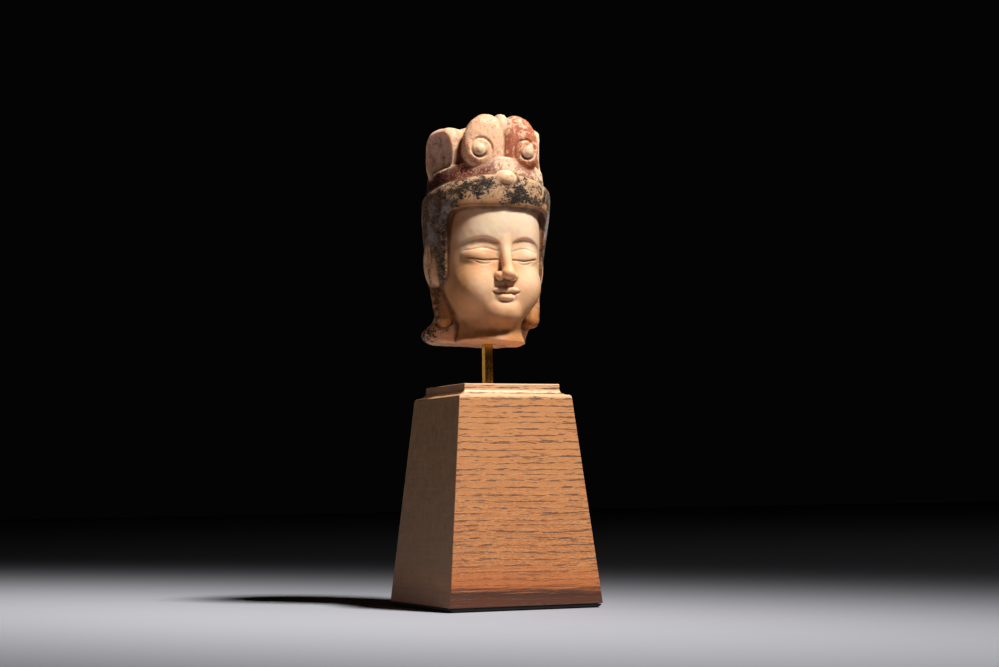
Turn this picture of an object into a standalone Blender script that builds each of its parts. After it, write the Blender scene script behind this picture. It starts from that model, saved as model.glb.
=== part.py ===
"""Marble head of a bodhisattva, held by a square brass bar above a tapered hardwood plinth.

Metres, +Z up. The origin is the middle of the foot, on the surface that the plinth stands on,
and the face looks along -Y.
"""

import math

import bmesh
import bpy
import numpy as np

# Driving dimensions, in metres
HEAD_HEIGHT = 0.125
ROD_SIDE = 0.00476
ROD_SHOWN = 0.0235
ROD_IN_PLINTH = 0.025
ROD_IN_HEAD = 0.030
ROD_EDGE = 0.0003
HEAD_BACK = 0.0055
PLINTH_HEIGHT = 0.118
PLINTH_FOOT_WIDTH = 0.0884
PLINTH_SHOULDER_WIDTH = 0.0662
PLINTH_TOP_WIDTH = 0.056
PLINTH_LIP_HEIGHT = 0.0028
PLINTH_COVE_HEIGHT = 0.0032
PLINTH_SHOULDER_ROUND = 0.0016
PLINTH_ARRIS = 0.0005
PLATE_THICKNESS = 0.002
PLATE_SETBACK = 0.0008
PLATE_BEVEL = 0.0014
CLEARANCE = 0.0003

# The head is laid out on a carver's grid, so many parts high from the level of the broken neck to the top
GRID_PARTS = 125
PART = HEAD_HEIGHT / GRID_PARTS

# Fineness of the carved surface, in parts, and the faces that are left of it
ROUGH_VOXEL = 1.6
FINE_VOXEL = 1.15
HEAD_TRIANGLES = 8600

# Where the poles of a unit ball are pressed flat before it is drawn out into a column
CAP_HEIGHT = 0.8
CAP_RADIUS = 0.6

# Heights that the pieces take from each other
PLATE_TOP = PLATE_THICKNESS
PLINTH_BOTTOM = PLATE_TOP + CLEARANCE
PLINTH_TOP = PLINTH_BOTTOM + PLINTH_HEIGHT
ROD_BOTTOM = PLINTH_TOP - ROD_IN_PLINTH
HEAD_BOTTOM = PLINTH_TOP + ROD_SHOWN
ROD_TOP = HEAD_BOTTOM + ROD_IN_HEAD


# Soft joins between forms; all forms are distances in parts, below zero inside

def joined(a, b, reach):
    share = np.clip(0.5 + 0.5 * (b - a) / reach, 0.0, 1.0)
    return b + (a - b) * share - reach * share * (1.0 - share)


def common(a, b, reach):
    return -joined(-a, -b, reach)


def without(a, b, reach):
    return -joined(-a, b, reach)


def bell(t):
    return np.exp(-t * t)


def rise(t):
    return 0.5 + 0.5 * np.tanh(t)


def mirrored(p):
    return np.column_stack((np.abs(p[:, 0]), p[:, 1], p[:, 2]))


def from_centre(p, centre, turn):
    """The points as seen from a centre, with axes turned about the upright through it."""
    d = p - np.array(centre)
    c, s = math.cos(turn), math.sin(turn)
    return np.column_stack((c * d[:, 0] + s * d[:, 1], c * d[:, 1] - s * d[:, 0], d[:, 2]))


def ball(p, centre, radii, turn=0.0):
    d = from_centre(p, centre, turn)
    near = np.linalg.norm(d / np.array(radii), axis=1)
    slope = np.linalg.norm(d / np.array(radii) ** 2, axis=1)
    return near * (near - 1.0) / np.maximum(slope, 1e-6)


def pillow(p, centre, radii, fullness, turn=0.0):
    """A fuller ellipsoid, flatter on its sides."""
    d = from_centre(p, centre, turn)
    level = (np.abs(d / np.array(radii)) ** fullness).sum(axis=1) ** (1.0 / fullness)
    return (level - 1.0) * min(radii)


def limb(p, start, end, radius, end_radius):
    """A round bar with round ends that tapers from start to end."""
    a, b = np.array(start), np.array(end)
    axis = b - a
    share = np.clip((p - a) @ axis / (axis @ axis), 0.0, 1.0)
    return np.linalg.norm(p - a - share[:, None] * axis, axis=1) - radius - (end_radius - radius) * share


def along(heights, stations, column):
    """A smooth curve through one column of the stations, read at these heights."""
    knots = np.array([row[0] for row in stations], float)
    values = np.array([row[column] for row in stations], float)
    slopes = np.gradient(values, knots)
    i = np.clip(np.searchsorted(knots, heights) - 1, 0, len(knots) - 2)
    width = knots[i + 1] - knots[i]
    t = np.clip((heights - knots[i]) / width, 0.0, 1.0)
    return ((1 + 2 * t) * (1 - t) ** 2 * values[i] + t * (1 - t) ** 2 * width * slopes[i]
            + t * t * (3 - 2 * t) * values[i + 1] + t * t * (t - 1) * width * slopes[i + 1])


def column(p, stations, fullness):
    """An upright form through level outlines, cut off at the first and the last of them."""
    half, middle, front, back = (along(p[:, 2], stations, k) for k in (1, 2, 3, 4))
    y = p[:, 1] - middle
    depth = np.where(y < 0, front, back)
    level = (np.abs(p[:, 0] / half) ** fullness + np.abs(y / depth) ** fullness) ** (1.0 / fullness)
    ends = np.maximum(stations[0][0] - p[:, 2], p[:, 2] - stations[-1][0])
    return common((level - 1.0) * half, ends, 2.0)


# The side lobes and the ears are turned forward by this much
SIDE_LOBE_TURN = math.radians(24.0)
EAR_TURN = math.radians(19.0)

# The carving isn't quite even: the cleft between the front lobes stands to +X of the nose, the front lobe
# at -X is wider, and the side lobe at +X stands higher than the middle, the other as much lower
CLEFT_ASIDE = 1.3
WIDER_LOBE = 1.07
SIDE_LOBE_STEP = 1.0

# Level outlines: height above the neck's edge, half width, middle, depth to the front and to the back
FACE_OUTLINES = (
    (6, 9.0, -5.0, 11.0, 10), (11, 15.5, -3.0, 20.5, 12), (17, 21.0, -1.0, 25.2, 16),
    (24, 25.2, 0.0, 26.2, 18), (32, 27.8, 0.0, 26.3, 20), (40, 28.8, 0.0, 26.0, 20),
    (48, 29.0, 0.0, 26.3, 20), (56, 29.0, 0.0, 27.4, 20), (64, 28.8, 0.0, 28.0, 20),
    (80, 27.5, 0.0, 27.0, 20),
)
HAIR_OUTLINES = (
    (-6, 30.0, 7.6, 8.0, 20.0), (0, 31.6, 8.0, 8.5, 22.5), (6, 34.2, 8.4, 8.5, 24.5),
    (12, 28.8, 6.5, 6.0, 23.0), (20, 27.0, 5.0, 4.5, 23.2), (28, 28.8, 4.0, 5.0, 24.6),
    (33, 30.6, 2.5, 21.0, 26.6), (46, 33.0, 1.5, 24.0, 29.4), (61, 35.0, 0.5, 26.4, 32.3),
    (77, 35.8, -1.5, 29.4, 34.6), (92, 35.2, -1.5, 28.3, 33.0),
)
NECK_OUTLINES = (
    (-6, 20.6, -3.4, 20.6, 20), (0, 19.6, -3.4, 19.6, 20), (5, 17.8, -3.4, 17.6, 20),
    (14, 17.0, -3.4, 16.6, 20),
)
TIER_OUTLINES = ((80, 33.5, 0.0, 27.9, 28.5), (90, 32.7, 0.0, 27.0, 28.0), (106, 31.1, 0.0, 25.2, 26.2))


def face(p):
    """A calm, full face on a plain canon: thirds from hairline to brow, nose and chin, five eyes wide."""
    q = mirrored(p)
    x, y, z = q.T
    form = column(p, FACE_OUTLINES, 2.3)
    form = joined(form, ball(q, (12.5, -16.8, 30.0), (11.5, 9.6, 11.5)), 6.0)
    form = joined(form, ball(p, (0, -21.2, 16.0), (8.6, 6.8, 6.4)), 4.5)
    form = joined(form, ball(p, (0, -11.0, 9.5), (14.0, 11.0, 5.0)), 4.0)
    brow = 51.6 + 4.6 * np.sin(np.clip((x - 1.5) / 23.0, 0, 1) * math.pi) ** 0.8
    reach = bell((x - 11.0) / 10.5) * rise((x - 3.6) / 1.4)
    form = form + 2.0 * reach * rise((brow - z) / 0.55) * bell((brow - z) / 8.0)
    form = joined(form, ball(q, (12.4, -18.6, 46.8), (8.6, 7.3, 5.4)), 0.9)
    slit = 45.0 - 0.9 * bell((x - 12.0) / 6.0) + 0.05 * (x - 12.0)
    form = form + 0.9 * bell((z - slit) / 0.55) * rise((7.4 - np.abs(x - 12.3)) / 0.9)
    form = joined(form, limb(p, (0, -24.2, 56.0), (0, -29.6, 38.0), 3.0, 3.3), 2.4)
    form = joined(form, ball(p, (0, -30.4, 36.2), (4.0, 4.0, 3.3)), 2.0)
    form = joined(form, ball(q, (4.4, -27.6, 34.9), (2.6, 3.3, 2.6)), 1.2)
    form = joined(form, ball(q, (2.3, -26.0, 27.4), (4.8, 3.4, 1.8)), 0.9)
    form = joined(form, ball(p, (0, -25.7, 23.7), (5.0, 3.5, 2.2)), 1.2)
    lips = 25.6 + 0.5 * bell((x - 2.6) / 1.6) + 0.012 * x * x
    form = form + 1.1 * bell((z - lips) / 0.6) * rise((7.2 - x) / 0.8)
    return form


def hair(p):
    """The hair frames the forehead as a thick roll, hangs before the ears and spreads over the nape."""
    x, z = np.abs(p[:, 0]), p[:, 2]
    turn = np.arctan2(x, -p[:, 1])
    top = 81.0 + 11.0 * bell(turn / 1.3)
    form = common(column(p, HAIR_OUTLINES, 2.15), z - top, 5.0)
    hairline = 73.2 + 1.2 * bell(x / 2.6) - 0.02 * np.maximum(x - 18.0, 0.0) ** 2
    sides = 0.96 * (x - 27.2 + 0.3 * (p[:, 1] + 8.0))
    window = common(common(sides, z - hairline, 3.0), p[:, 1] + 6.0, 2.5)
    return without(form, window, 2.0)


def ears(p):
    """Long ears that lie back against the hair, with a rim, a hollow and a stretched lobe."""
    q = mirrored(p)
    form = ball(q, (30.8, 0.8, 45.5), (3.9, 8.0, 15.4), -EAR_TURN)
    hollow = ball(q, (35.5, -1.0, 48.5), (2.4, 3.6, 8.8), -EAR_TURN)
    slot = limb(q, (34.0, 0.2, 40.0), (32.7, 0.6, 34.0), 1.0, 0.8)
    return without(without(form, hollow, 1.0), slot, 0.8)


def side_locks(p):
    return limb(mirrored(p), (29.4, 2.4, 33.0), (26.4, -0.8, 13.8), 3.8, 4.7)


def crown(p):
    """A low tier, two scrolled lobes in front, a dished lobe at each side and a plain dome behind."""
    q = mirrored(p)
    turn = np.arctan2(q[:, 0], -q[:, 1])
    tier = common(column(p, TIER_OUTLINES, 2.1), q[:, 2] - 90.0 - 10.8 * bell(turn / 1.35), 1.0)
    dome = pillow(p, (0, 2.0, 98.0), (27.0, 24.5, 23.5), 2.5)
    middle = np.array((23.6, -3.4, 103.8))
    outward = np.array((math.cos(SIDE_LOBE_TURN), -math.sin(SIDE_LOBE_TURN), 0.0))
    lower = q + np.outer(np.where(p[:, 0] < 0, SIDE_LOBE_STEP, -SIDE_LOBE_STEP), (0, 0, 1))
    side = pillow(lower, middle, (9.5, 12.4, 15.8), 3.0, -SIDE_LOBE_TURN)
    dish = ball(lower, middle + 11.2 * outward, (6.0, 13.4, 16.8), -SIDE_LOBE_TURN)
    side = without(side, dish, 0.7)
    r = mirrored(p - np.array((CLEFT_ASIDE, 0.0, 0.0)))
    r[:, 0] /= np.where(p[:, 0] < CLEFT_ASIDE, WIDER_LOBE, 1.0)
    outer = pillow(r, (10.0, -20.4, 106.8), (11.4, 6.0, 14.8), 2.2)
    upper = pillow(r, (8.2, -20.4, 113.6), (9.0, 5.6, 11.0), 2.15)
    lobe = common(joined(outer, upper, 2.0), 0.25 - r[:, 0], 0.8)
    volute = pillow(q, (14.0, -20.6, 104.0), (7.8, 6.4, 8.7), 2.2)
    knob = ball(q, (14.3, -25.4, 104.5), (3.7, 3.3, 3.7))
    form = joined(joined(tier, dome, 1.5), side, 0.9)
    front = joined(lobe, volute, 1.2)
    front = joined(front, knob, 0.3)
    form = joined(form, front, 0.6)
    form = joined(form, pillow(p, (0.9, -19.6, 117.4), (4.4, 5.0, 7.9), 2.3), 0.5)
    return joined(form, ball(p, (0, -27.4, 88.6), (6.3, 5.2, 4.8)), 0.4)


def break_height(p):
    """The neck is broken off: the edge waves a little, and steps up where the hair at +X is lost."""
    x, y = p[:, 0], p[:, 1]
    rising = 11.0 * rise((x - 24.8) / 2.2) + 0.004 * np.maximum(-x - 18.0, 0.0) ** 2
    waves = 0.5 * np.sin(x / 5.3 + 0.6) * np.cos(y / 6.1) + 0.3 * np.sin(y / 3.7 + x / 9.0)
    return 0.2 - 0.035 * x + rising + waves


def head(p):
    form = joined(hair(p), face(p), 1.4)
    form = joined(form, column(p, NECK_OUTLINES, 2.0), 2.2)
    form = common(form, break_height(p) - p[:, 2], 2.0)
    form = joined(form, side_locks(p), 1.8)
    form = joined(form, ears(p), 0.9)
    return joined(form, crown(p), 0.8)


# Rough upright forms that the head is cut from: the outlines, and the heights that they start and end at
ROUGH_COLUMNS = (
    (FACE_OUTLINES, 8, 76), (HAIR_OUTLINES, 0, 82), (NECK_OUTLINES, 0, 12), (TIER_OUTLINES, 80, 91),
)

# Rough masses that the head is cut from: centre and radii in parts, mirrored where they stand aside
ROUGH_MASSES = (
    ((0, -11, 21), (19, 15, 12)), ((0, 3, 98), (29, 25, 24)), ((10.6, -20.4, 108.8), (10, 6.4, 15)),
    ((14, -20.6, 104), (7.8, 7, 8.7)), ((24.4, -1, 103.8), (9, 11.4, 15)),
    ((0, -27.4, 88.6), (6.3, 5.2, 4.8)),
    ((0.9, -19.6, 117.4), (4.4, 5, 7.7)), ((0, -27.5, 46), (3.4, 4.2, 10)), ((0, -29, 36.5), (5, 5, 3.6)),
    ((31.6, 0.8, 45.5), (3.7, 6.6, 15)), ((30.2, 2.4, 33), (4, 4, 6)), ((29.0, 1.4, 26), (4.4, 4.4, 6)),
    ((27.8, 0.2, 19), (4.8, 4.8, 6)), ((26.8, -0.6, 14.2), (4.8, 4.8, 5)),
)


def new_object(name, mesh, collection):
    piece = bpy.data.objects.new(name, mesh)
    collection.objects.link(piece)
    return piece


def evaluated_mesh(piece):
    depsgraph = bpy.context.evaluated_depsgraph_get()
    return bpy.data.meshes.new_from_object(piece.evaluated_get(depsgraph))


def remeshed(piece, voxel):
    """The piece's mesh as one even skin, with faces this many parts wide."""
    remesh = piece.modifiers.new("even skin", "REMESH")
    remesh.mode = "VOXEL"
    remesh.voxel_size = voxel * PART
    old, piece.data = piece.data, evaluated_mesh(piece)
    piece.modifiers.clear()
    bpy.data.meshes.remove(old)


def relaxed(points, ends):
    """Each point half way to the middle of its neighbours."""
    total = np.zeros_like(points)
    count = np.zeros(len(points))
    for a, b in ((ends[:, 0], ends[:, 1]), (ends[:, 1], ends[:, 0])):
        count += np.bincount(a, minlength=len(points))
        for axis in range(3):
            total[:, axis] += np.bincount(a, weights=points[b, axis], minlength=len(points))
    return 0.5 * points + 0.5 * total / np.maximum(count, 1)[:, None]


def onto_form(points, form, reach):
    """Each point moved straight onto the form's surface, by no more than reach."""
    small = 0.05
    value = form(points)
    slope = np.empty_like(points)
    for axis in range(3):
        shift = np.zeros(3)
        shift[axis] = small
        slope[:, axis] = (form(points + shift) - value) / small
    move = -slope * (value / np.maximum((slope ** 2).sum(axis=1), 0.05))[:, None]
    length = np.linalg.norm(move, axis=1)
    return points + move * np.minimum(1.0, reach / np.maximum(length, 1e-9))[:, None]


def carve(piece, form, rounds, reach):
    """The piece's skin worked down onto the form, smoothed between the passes."""
    mesh = piece.data
    points = np.empty(len(mesh.vertices) * 3)
    mesh.vertices.foreach_get("co", points)
    points = points.reshape(-1, 3) / PART
    ends = np.empty(len(mesh.edges) * 2, int)
    mesh.edges.foreach_get("vertices", ends)
    ends = ends.reshape(-1, 2)
    for step in range(rounds):
        points = onto_form(points, form, reach)
        if step < rounds - 2:
            points = relaxed(points, ends)
    mesh.vertices.foreach_set("co", (points * PART).ravel())
    mesh.update()


def rough_column(shape, stations, low, high):
    """A ball with its poles pressed flat, drawn out into an upright form through the level outlines."""
    made = bmesh.ops.create_uvsphere(shape, u_segments=48, v_segments=40, radius=1.0)
    for vertex in made["verts"]:
        x, y, z = vertex.co
        level = min(1.0, math.hypot(x, y) / CAP_RADIUS)
        height = low + (high - low) * 0.5 * (1.0 + max(-1.0, min(1.0, z / CAP_HEIGHT)))
        half, middle, front, back = (float(along(np.array([height]), stations, k)[0]) for k in (1, 2, 3, 4))
        turn = math.atan2(y, x)
        depth = front if y < 0 else back
        place = (level * half * math.cos(turn), middle + level * depth * math.sin(turn), height)
        vertex.co = [PART * value for value in place]


def make_head(collection):
    """The marble head, about its own axis: rough masses fused, carved, thinned out, and put in its place."""
    shape = bmesh.new()
    for stations, low, high in ROUGH_COLUMNS:
        rough_column(shape, stations, low, high)
    places = np.array([vertex.co for vertex in shape.verts]) / PART
    for vertex, lowest in zip(shape.verts, break_height(places)):
        vertex.co.z = max(vertex.co.z, lowest * PART)
    for centre, radii in ROUGH_MASSES:
        for side in ((1,) if centre[0] < 1 else (1, -1)):
            made = bmesh.ops.create_uvsphere(shape, u_segments=24, v_segments=16, radius=PART)
            bmesh.ops.scale(shape, vec=radii, verts=made["verts"])
            place = (side * centre[0] * PART, centre[1] * PART, centre[2] * PART)
            bmesh.ops.translate(shape, vec=place, verts=made["verts"])
    mesh = bpy.data.meshes.new("bodhisattva_head")
    shape.to_mesh(mesh)
    shape.free()
    piece = new_object("bodhisattva_head", mesh, collection)
    remeshed(piece, ROUGH_VOXEL)
    carve(piece, head, 10, 2.0)
    remeshed(piece, FINE_VOXEL)
    carve(piece, head, 6, 0.8)
    mesh = piece.data
    mesh.name = "bodhisattva_head"
    place = np.array((0.0, HEAD_BACK, HEAD_BOTTOM))
    points = np.empty(len(mesh.vertices) * 3)
    mesh.vertices.foreach_get("co", points)
    mesh.vertices.foreach_set("co", (points.reshape(-1, 3) + place).ravel())
    mesh.shade_smooth()
    thin = piece.modifiers.new("fewer faces", "DECIMATE")
    thin.ratio = HEAD_TRIANGLES / (2 * len(mesh.vertices))
    thin.use_collapse_triangulate = True
    return piece


def square_turned(name, profile, collection):
    """A block of square plan: half widths and heights, from top to bottom, taken round its four corners."""
    mesh = bpy.data.meshes.new(name)
    points = [(half * math.sqrt(2.0), 0.0, height) for half, height in profile]
    mesh.from_pydata(points, [(i, i + 1) for i in range(len(points) - 1)], [])
    piece = new_object(name, mesh, collection)
    piece.rotation_euler.z = math.radians(45.0)
    screw = piece.modifiers.new("four corners", "SCREW")
    screw.steps = 4
    screw.render_steps = 4
    screw.use_merge_vertices = True
    screw.merge_threshold = 0.0001
    screw.use_smooth_shade = False
    return piece


def plinth_profile():
    """Half widths and heights from the middle of the top, over the lip and the cove, and down the taper."""
    top = PLINTH_TOP_WIDTH / 2
    shoulder = PLINTH_SHOULDER_WIDTH / 2
    cove_top = PLINTH_TOP - PLINTH_LIP_HEIGHT
    reach = shoulder - PLINTH_SHOULDER_ROUND - top
    profile = [(0.0, PLINTH_TOP), (top, PLINTH_TOP), (top, cove_top)]
    for degrees in range(15, 91, 15):
        turn = math.radians(degrees)
        profile.append((top + reach * (1 - math.cos(turn)), cove_top - PLINTH_COVE_HEIGHT * math.sin(turn)))
    low = cove_top - PLINTH_COVE_HEIGHT
    for degrees in (30, 60):
        turn = math.radians(degrees)
        profile.append((shoulder - PLINTH_SHOULDER_ROUND * (1 - math.sin(turn)),
                        low - PLINTH_SHOULDER_ROUND * (1 - math.cos(turn))))
    profile.append((shoulder, low - PLINTH_SHOULDER_ROUND))
    profile.append((PLINTH_FOOT_WIDTH / 2, PLINTH_BOTTOM))
    profile.append((0.0, PLINTH_BOTTOM))
    return profile


def add_bevel(piece, width, segments):
    bevel = piece.modifiers.new("softened edges", "BEVEL")
    bevel.width = width
    bevel.segments = segments
    bevel.limit_method = "ANGLE"
    bevel.angle_limit = math.radians(50.0)


def block(name, low, high, collection):
    """A plain box between two corners."""
    shape = bmesh.new()
    bmesh.ops.create_cube(shape, size=1.0)
    size = [b - a for a, b in zip(low, high)]
    middle = [(a + b) / 2 for a, b in zip(low, high)]
    bmesh.ops.scale(shape, vec=size, verts=shape.verts)
    bmesh.ops.translate(shape, vec=middle, verts=shape.verts)
    mesh = bpy.data.meshes.new(name)
    shape.to_mesh(mesh)
    shape.free()
    return new_object(name, mesh, collection)


def make_plinth(collection):
    piece = square_turned("wooden_plinth", plinth_profile(), collection)
    add_bevel(piece, PLINTH_ARRIS, 2)
    return piece


def make_foot_plate(collection):
    wide = PLINTH_FOOT_WIDTH / 2 - PLATE_SETBACK
    side = [(wide, PLATE_TOP), (wide, PLATE_BEVEL), (wide - PLATE_BEVEL, 0.0)]
    return square_turned("black_foot_plate", [(0.0, PLATE_TOP), *side, (0.0, 0.0)], collection)


def make_rod(collection):
    half = ROD_SIDE / 2
    low = (-half, HEAD_BACK - half, ROD_BOTTOM)
    high = (half, HEAD_BACK + half, ROD_TOP)
    piece = block("brass_rod", low, high, collection)
    add_bevel(piece, ROD_EDGE, 2)
    return piece


def bore(piece, low, high, cutters):
    """A square hole for the bar, with the clearance round it."""
    half = ROD_SIDE / 2 + CLEARANCE
    near = (-half, HEAD_BACK - half, low)
    cutter = block(piece.name + "_hole", near, (half, HEAD_BACK + half, high), cutters)
    cutter.hide_render = True
    cutter.display_type = "WIRE"
    cut = piece.modifiers.new("hole for the bar", "BOOLEAN")
    cut.operation = "DIFFERENCE"
    cut.solver = "EXACT"
    cut.object = cutter


def give_material(piece, name, colour, roughness, metallic):
    material = bpy.data.materials.new(name)
    material.use_nodes = True
    shader = material.node_tree.nodes["Principled BSDF"]
    shader.inputs["Base Color"].default_value = (*colour, 1.0)
    shader.inputs["Roughness"].default_value = roughness
    shader.inputs["Metallic"].default_value = metallic
    piece.data.materials.clear()
    piece.data.materials.append(material)


def main():
    for old in list(bpy.data.objects):
        bpy.data.objects.remove(old)
    parts = bpy.data.collections.new("bodhisattva head")
    cutters = bpy.data.collections.new("cutters")
    for collection in (parts, cutters):
        bpy.context.scene.collection.children.link(collection)
    marble_head = make_head(parts)
    rod = make_rod(parts)
    plinth = make_plinth(parts)
    plate = make_foot_plate(parts)
    margin = 0.01
    bore(marble_head, HEAD_BOTTOM - margin, ROD_TOP + CLEARANCE, cutters)
    bore(plinth, ROD_BOTTOM - CLEARANCE, PLINTH_TOP + margin, cutters)
    give_material(marble_head, "warm white marble", (0.72, 0.56, 0.41), 0.42, 0.0)
    give_material(rod, "brass", (0.72, 0.50, 0.18), 0.3, 1.0)
    give_material(plinth, "tan hardwood", (0.36, 0.19, 0.095), 0.5, 0.0)
    give_material(plate, "black paint", (0.012, 0.011, 0.010), 0.55, 0.0)


main()
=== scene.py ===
"""Carved marble head on its stand: worn marble with old pigment, brass, hardwood and black paint.

Laid out as an add-on and run as a script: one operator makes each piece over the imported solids.
All lengths are metres, except in the carving of the head. That works in millimetres from the level
of the broken neck, with x to the right of someone who looks at the face, and the face towards -y.
"""

import math

import bmesh
import bpy
import numpy as np
from bpy.props import FloatProperty, FloatVectorProperty, IntProperty, PointerProperty
from mathutils import Matrix, Vector


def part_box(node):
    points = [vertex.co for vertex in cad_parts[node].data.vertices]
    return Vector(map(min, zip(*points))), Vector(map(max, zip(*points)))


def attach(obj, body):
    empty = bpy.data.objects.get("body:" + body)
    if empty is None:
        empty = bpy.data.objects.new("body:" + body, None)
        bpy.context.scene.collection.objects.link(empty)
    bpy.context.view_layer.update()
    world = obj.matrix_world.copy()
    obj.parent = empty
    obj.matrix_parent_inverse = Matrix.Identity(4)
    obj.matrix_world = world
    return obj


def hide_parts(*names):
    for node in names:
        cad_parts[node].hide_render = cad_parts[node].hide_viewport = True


bl_info = {
    "name": "Marble head on a stand",
    "version": (1, 0, 0),
    "blender": (4, 5, 0),
    "location": "View3D > Sidebar > Head",
    "description": "Dresses the packed solids of a carved marble head on its plinth",
    "category": "Object",
}

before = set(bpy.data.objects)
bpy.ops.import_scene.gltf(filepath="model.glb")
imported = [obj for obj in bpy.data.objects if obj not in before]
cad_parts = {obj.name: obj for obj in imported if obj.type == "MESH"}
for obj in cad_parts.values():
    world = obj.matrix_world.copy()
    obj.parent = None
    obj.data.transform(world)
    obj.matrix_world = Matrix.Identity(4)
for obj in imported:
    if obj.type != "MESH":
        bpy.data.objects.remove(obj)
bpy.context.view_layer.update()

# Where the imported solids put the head: its axis, the level of the broken neck, and the bar's hole
MM = 0.001
BAR_LOW, BAR_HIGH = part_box("brass_rod")
BAR_IN_HEAD = 0.030
HOLE_ROOM = 0.0003
HEAD_AXIS = np.array((0.0, (BAR_LOW.y + BAR_HIGH.y) / 2, BAR_HIGH.z - BAR_IN_HEAD))
PLINTH_LOW, PLINTH_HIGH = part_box("wooden_plinth")


# Soft joins between carved forms; each form is a distance in millimetres, below zero inside

def joined(a, b, reach):
    share = np.clip(0.5 + 0.5 * (b - a) / reach, 0.0, 1.0)
    return b + (a - b) * share - reach * share * (1.0 - share)


def common(a, b, reach):
    return -joined(-a, -b, reach)


def without(a, b, reach):
    return -joined(-a, b, reach)


def bell(t):
    return np.exp(-t * t)


def rise(t):
    return 0.5 + 0.5 * np.tanh(t)


def mirrored(p):
    return np.column_stack((np.abs(p[:, 0]), p[:, 1], p[:, 2]))


def from_centre(p, centre, turn):
    """The points as seen from a centre, with axes turned about the upright through it."""
    d = p - np.array(centre)
    c, s = math.cos(turn), math.sin(turn)
    return np.column_stack((c * d[:, 0] + s * d[:, 1], c * d[:, 1] - s * d[:, 0], d[:, 2]))


def ball(p, centre, radii, turn=0.0):
    d = from_centre(p, centre, turn)
    near = np.linalg.norm(d / np.array(radii), axis=1)
    slope = np.linalg.norm(d / np.array(radii) ** 2, axis=1)
    return near * (near - 1.0) / np.maximum(slope, 1e-6)


def pillow(p, centre, radii, fullness, turn=0.0):
    """A fuller ellipsoid, flatter on its sides."""
    d = from_centre(p, centre, turn)
    level = (np.abs(d / np.array(radii)) ** fullness).sum(axis=1) ** (1.0 / fullness)
    return (level - 1.0) * min(radii)


def limb(p, start, end, radius, end_radius):
    """A round bar with round ends that tapers from start to end."""
    a, b = np.array(start), np.array(end)
    axis = b - a
    share = np.clip((p - a) @ axis / (axis @ axis), 0.0, 1.0)
    to_axis = np.linalg.norm(p - a - share[:, None] * axis, axis=1)
    return to_axis - radius - (end_radius - radius) * share


def along(heights, stations, column):
    """A smooth curve through one column of the stations, read at these heights."""
    knots = np.array([row[0] for row in stations], float)
    values = np.array([row[column] for row in stations], float)
    slopes = np.gradient(values, knots)
    i = np.clip(np.searchsorted(knots, heights) - 1, 0, len(knots) - 2)
    width = knots[i + 1] - knots[i]
    t = np.clip((heights - knots[i]) / width, 0.0, 1.0)
    return ((1 + 2 * t) * (1 - t) ** 2 * values[i] + t * (1 - t) ** 2 * width * slopes[i]
            + t * t * (3 - 2 * t) * values[i + 1] + t * t * (t - 1) * width * slopes[i + 1])


def column(p, stations, fullness):
    """An upright form through level outlines, cut off at the first and the last of them."""
    half, middle, front, back = (along(p[:, 2], stations, k) for k in (1, 2, 3, 4))
    y = p[:, 1] - middle
    depth = np.where(y < 0, front, back)
    level = (np.abs(p[:, 0] / half) ** fullness + np.abs(y / depth) ** fullness) ** (1.0 / fullness)
    ends = np.maximum(stations[0][0] - p[:, 2], p[:, 2] - stations[-1][0])
    return common((level - 1.0) * half, ends, 2.0)


# Turns about the upright of the side lobes and the ears
SIDE_LOBE_TURN = math.radians(24.0)
EAR_TURN = math.radians(19.0)

# The side lobe at -X lies this much lower than their middle level, the one at +X as much higher
SIDE_LOBE_STEP = 1.0

# The cleft between the two front lobes stands this far to +X of the nose; the lobe at -X is wider
CLEFT_ASIDE = 1.3
CLEFT_HALF = 0.25
WIDER_LOBE = 1.07

# Level outlines: height, half width, middle, and depth from there to the front and to the back
FACE_OUTLINES = (
    (6, 9.0, -5.0, 11.0, 10), (11, 15.5, -3.0, 20.5, 12), (17, 21.0, -1.0, 25.2, 16),
    (24, 25.2, 0.0, 26.2, 18), (32, 27.8, 0.0, 26.3, 20), (40, 28.8, 0.0, 26.0, 20),
    (48, 29.0, 0.0, 26.3, 20), (56, 29.0, 0.0, 27.4, 20), (64, 28.8, 0.0, 28.0, 20),
    (80, 27.5, 0.0, 27.0, 20),
)
HAIR_OUTLINES = (
    (-6, 30.0, 7.6, 8.0, 20.0), (0, 31.6, 8.0, 8.5, 22.5), (6, 34.2, 8.4, 8.5, 24.5),
    (12, 28.8, 6.5, 6.0, 23.0), (20, 27.0, 5.0, 4.5, 23.2), (28, 28.8, 4.0, 5.0, 24.6),
    (33, 30.6, 2.5, 21.0, 26.6), (46, 33.0, 1.5, 24.0, 29.4), (61, 35.0, 0.5, 26.4, 32.3),
    (77, 35.8, -1.5, 29.4, 34.6), (92, 35.2, -1.5, 28.3, 33.0),
)
NECK_OUTLINES = (
    (-6, 20.6, -3.4, 20.6, 20), (0, 19.6, -3.4, 19.6, 20), (5, 17.8, -3.4, 17.6, 20),
    (14, 17.0, -3.4, 16.6, 20),
)
TIER_OUTLINES = (
    (80, 33.5, 0.0, 27.9, 28.5), (90, 32.7, 0.0, 27.0, 28.0), (106, 31.1, 0.0, 25.2, 26.2),
)

# How full each of those outlines is: 2 is an ellipse, and more is squarer
FACE_FULLNESS, HAIR_FULLNESS, NECK_FULLNESS, TIER_FULLNESS = 2.3, 2.15, 2.0, 2.1

# Levels on the face: the hairline, the inner end of the brow, the fold, the slit and the lips
HAIRLINE, BROW, LID_FOLD, LID_SLIT, LIP_LINE = 73.2, 51.6, 48.9, 45.0, 25.6
EYE_ASIDE, LID_ASIDE, FOLD_ASIDE = 12.0, 12.3, 12.6

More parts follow.
